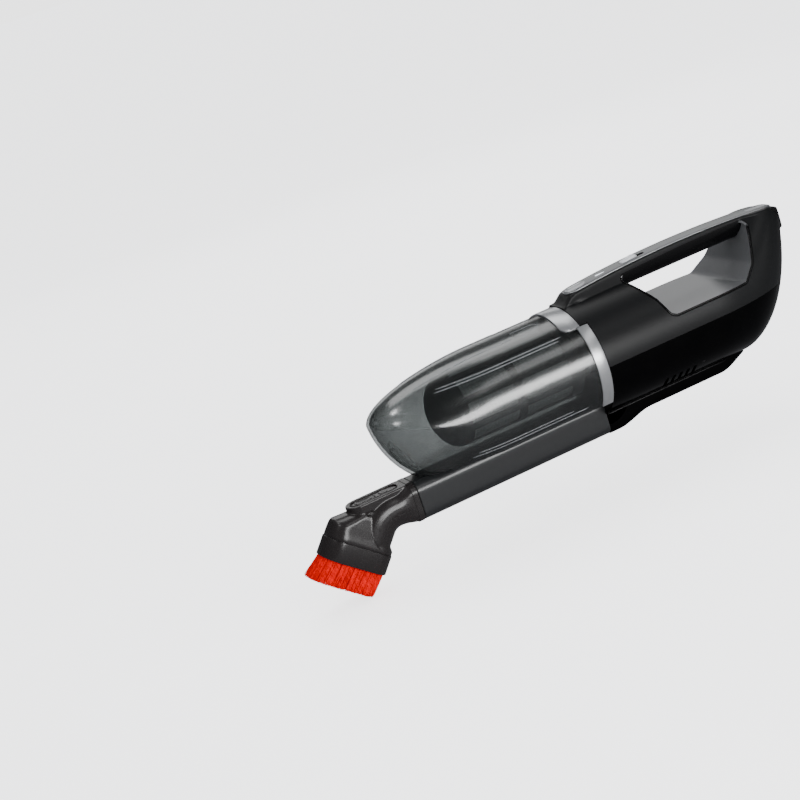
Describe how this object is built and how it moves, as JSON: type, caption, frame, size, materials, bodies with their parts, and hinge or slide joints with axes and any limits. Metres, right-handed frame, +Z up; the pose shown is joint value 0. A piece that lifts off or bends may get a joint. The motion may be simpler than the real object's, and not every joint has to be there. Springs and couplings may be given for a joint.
{
  "type": "handheld vacuum",
  "caption": "Cordless handheld vacuum with a closed-loop handle, a clear slide-off dust bin, an inlet tube and a pull-off angled dusting brush.",
  "frame": {"origin": "under the middle of the whole part, with the bristle tips on the ground plane", "axes": "+X from the nose to the rear of the handle along the barrel, +Y to the side away from a viewer who sees the nose on the left, +Z up"},
  "size_m": [0.569, 0.1148, 0.2012],
  "materials": {
    "body_upper": "satin black moulding",
    "body_lower": "high gloss black",
    "liner": "satin grey",
    "strip": "metallic grey, satin",
    "lens": "diffused clear lens",
    "bright_trim": "silver, semi gloss",
    "black_plastic": "fine grained black",
    "rubber": "matte",
    "steel": "bright",
    "tube_plastic": "cool dark grey, semi gloss",
    "cage_plastic": "matte dark grey",
    "mesh": "fine woven metal",
    "filter_paper": "pleated non-woven",
    "alloy": "turned",
    "magnet": "ground",
    "copper": "lacquered copper winding",
    "board": "solder mask",
    "cell": "shrink sleeve",
    "clear_bin": "smoke grey transparent",
    "tool_plastic": "warm black, semi gloss",
    "bristle": "bright red filament"
  },
  "bodies": {
    "motor_body": {"upper_shell": "body_upper", "lower_shell": "body_lower", "keel_cover": "body_lower", "finger_liner": "liner", "control_strip": "strip", "led_lens": "lens", "rear_inlay": "bright_trim", "rear_cap": "black_plastic", "rear_foot": "rubber", "shell_screws": "steel", "inlet_tube": "tube_plastic", "duct_elbow": "black_plastic", "front_bulkhead": "black_plastic", "filter_cage": "cage_plastic", "filter_mesh": "mesh", "pleated_filter": "filter_paper", "fan_housing": "black_plastic", "motor_can": "alloy", "stator": "copper", "motor_bearings": "steel", "motor_mounts": "rubber", "circuit_board": "board", "battery_cells": "cell", "battery_holder": "black_plastic", "charge_socket": "black_plastic", "switch_module": "black_plastic", "button_spring": "steel", "exhaust_filter": "filter_paper"},
    "dust_bin": {"bin_shell": "clear_bin", "bin_seal": "rubber", "trim_ring": "bright_trim", "top_plate": "bright_trim"},
    "brush_tool": {"tool_body": "tool_plastic", "brush_skirt": "tool_plastic", "bristle_plate": "tool_plastic", "bristles": "bristle", "latch_pin": "steel", "latch_spring": "steel"},
    "tool_latch": {"latch_lever": "tool_plastic"},
    "bin_release": {"release_button": "bright_trim"},
    "power_switch": {"power_slider": "bright_trim"},
    "fan": {"impeller": "alloy", "rotor_shaft": "steel", "rotor_magnet": "magnet"}
  },
  "joints": [
    {"name": "bin_slide", "type": "slide", "parent": "motor_body", "child": "dust_bin", "axis": [-1, 0, 0], "range_m": [0, 0.185]},
    {"name": "tool_slide", "type": "slide", "parent": "motor_body", "child": "brush_tool", "axis": [-1, 0, 0], "range_m": [0, 0.04]},
    {"name": "latch_press", "type": "hinge", "parent": "brush_tool", "child": "tool_latch", "pos_m": [-0.21547, 0, 0.08642], "axis": [0, 1, 0], "range_deg": [0, 1], "stiffness_Nm_per_rad": 2, "springref_deg": -0.57, "deforming": ["latch_spring"]},
    {"name": "release_press", "type": "slide", "parent": "motor_body", "child": "bin_release", "axis": [0, 0, -1], "range_m": [0, 0.0022], "stiffness_N_per_m": 500, "springref_m": -0.001, "deforming": ["button_spring"]},
    {"name": "power_slide", "type": "slide", "parent": "motor_body", "child": "power_switch", "axis": [1, 0, 0], "range_m": [0, 0.008]},
    {"name": "fan_spin", "type": "hinge", "parent": "motor_body", "child": "fan", "pos_m": [0.10053, 0, 0.12022], "axis": [1, 0, 0], "continuous": true}
  ]
}
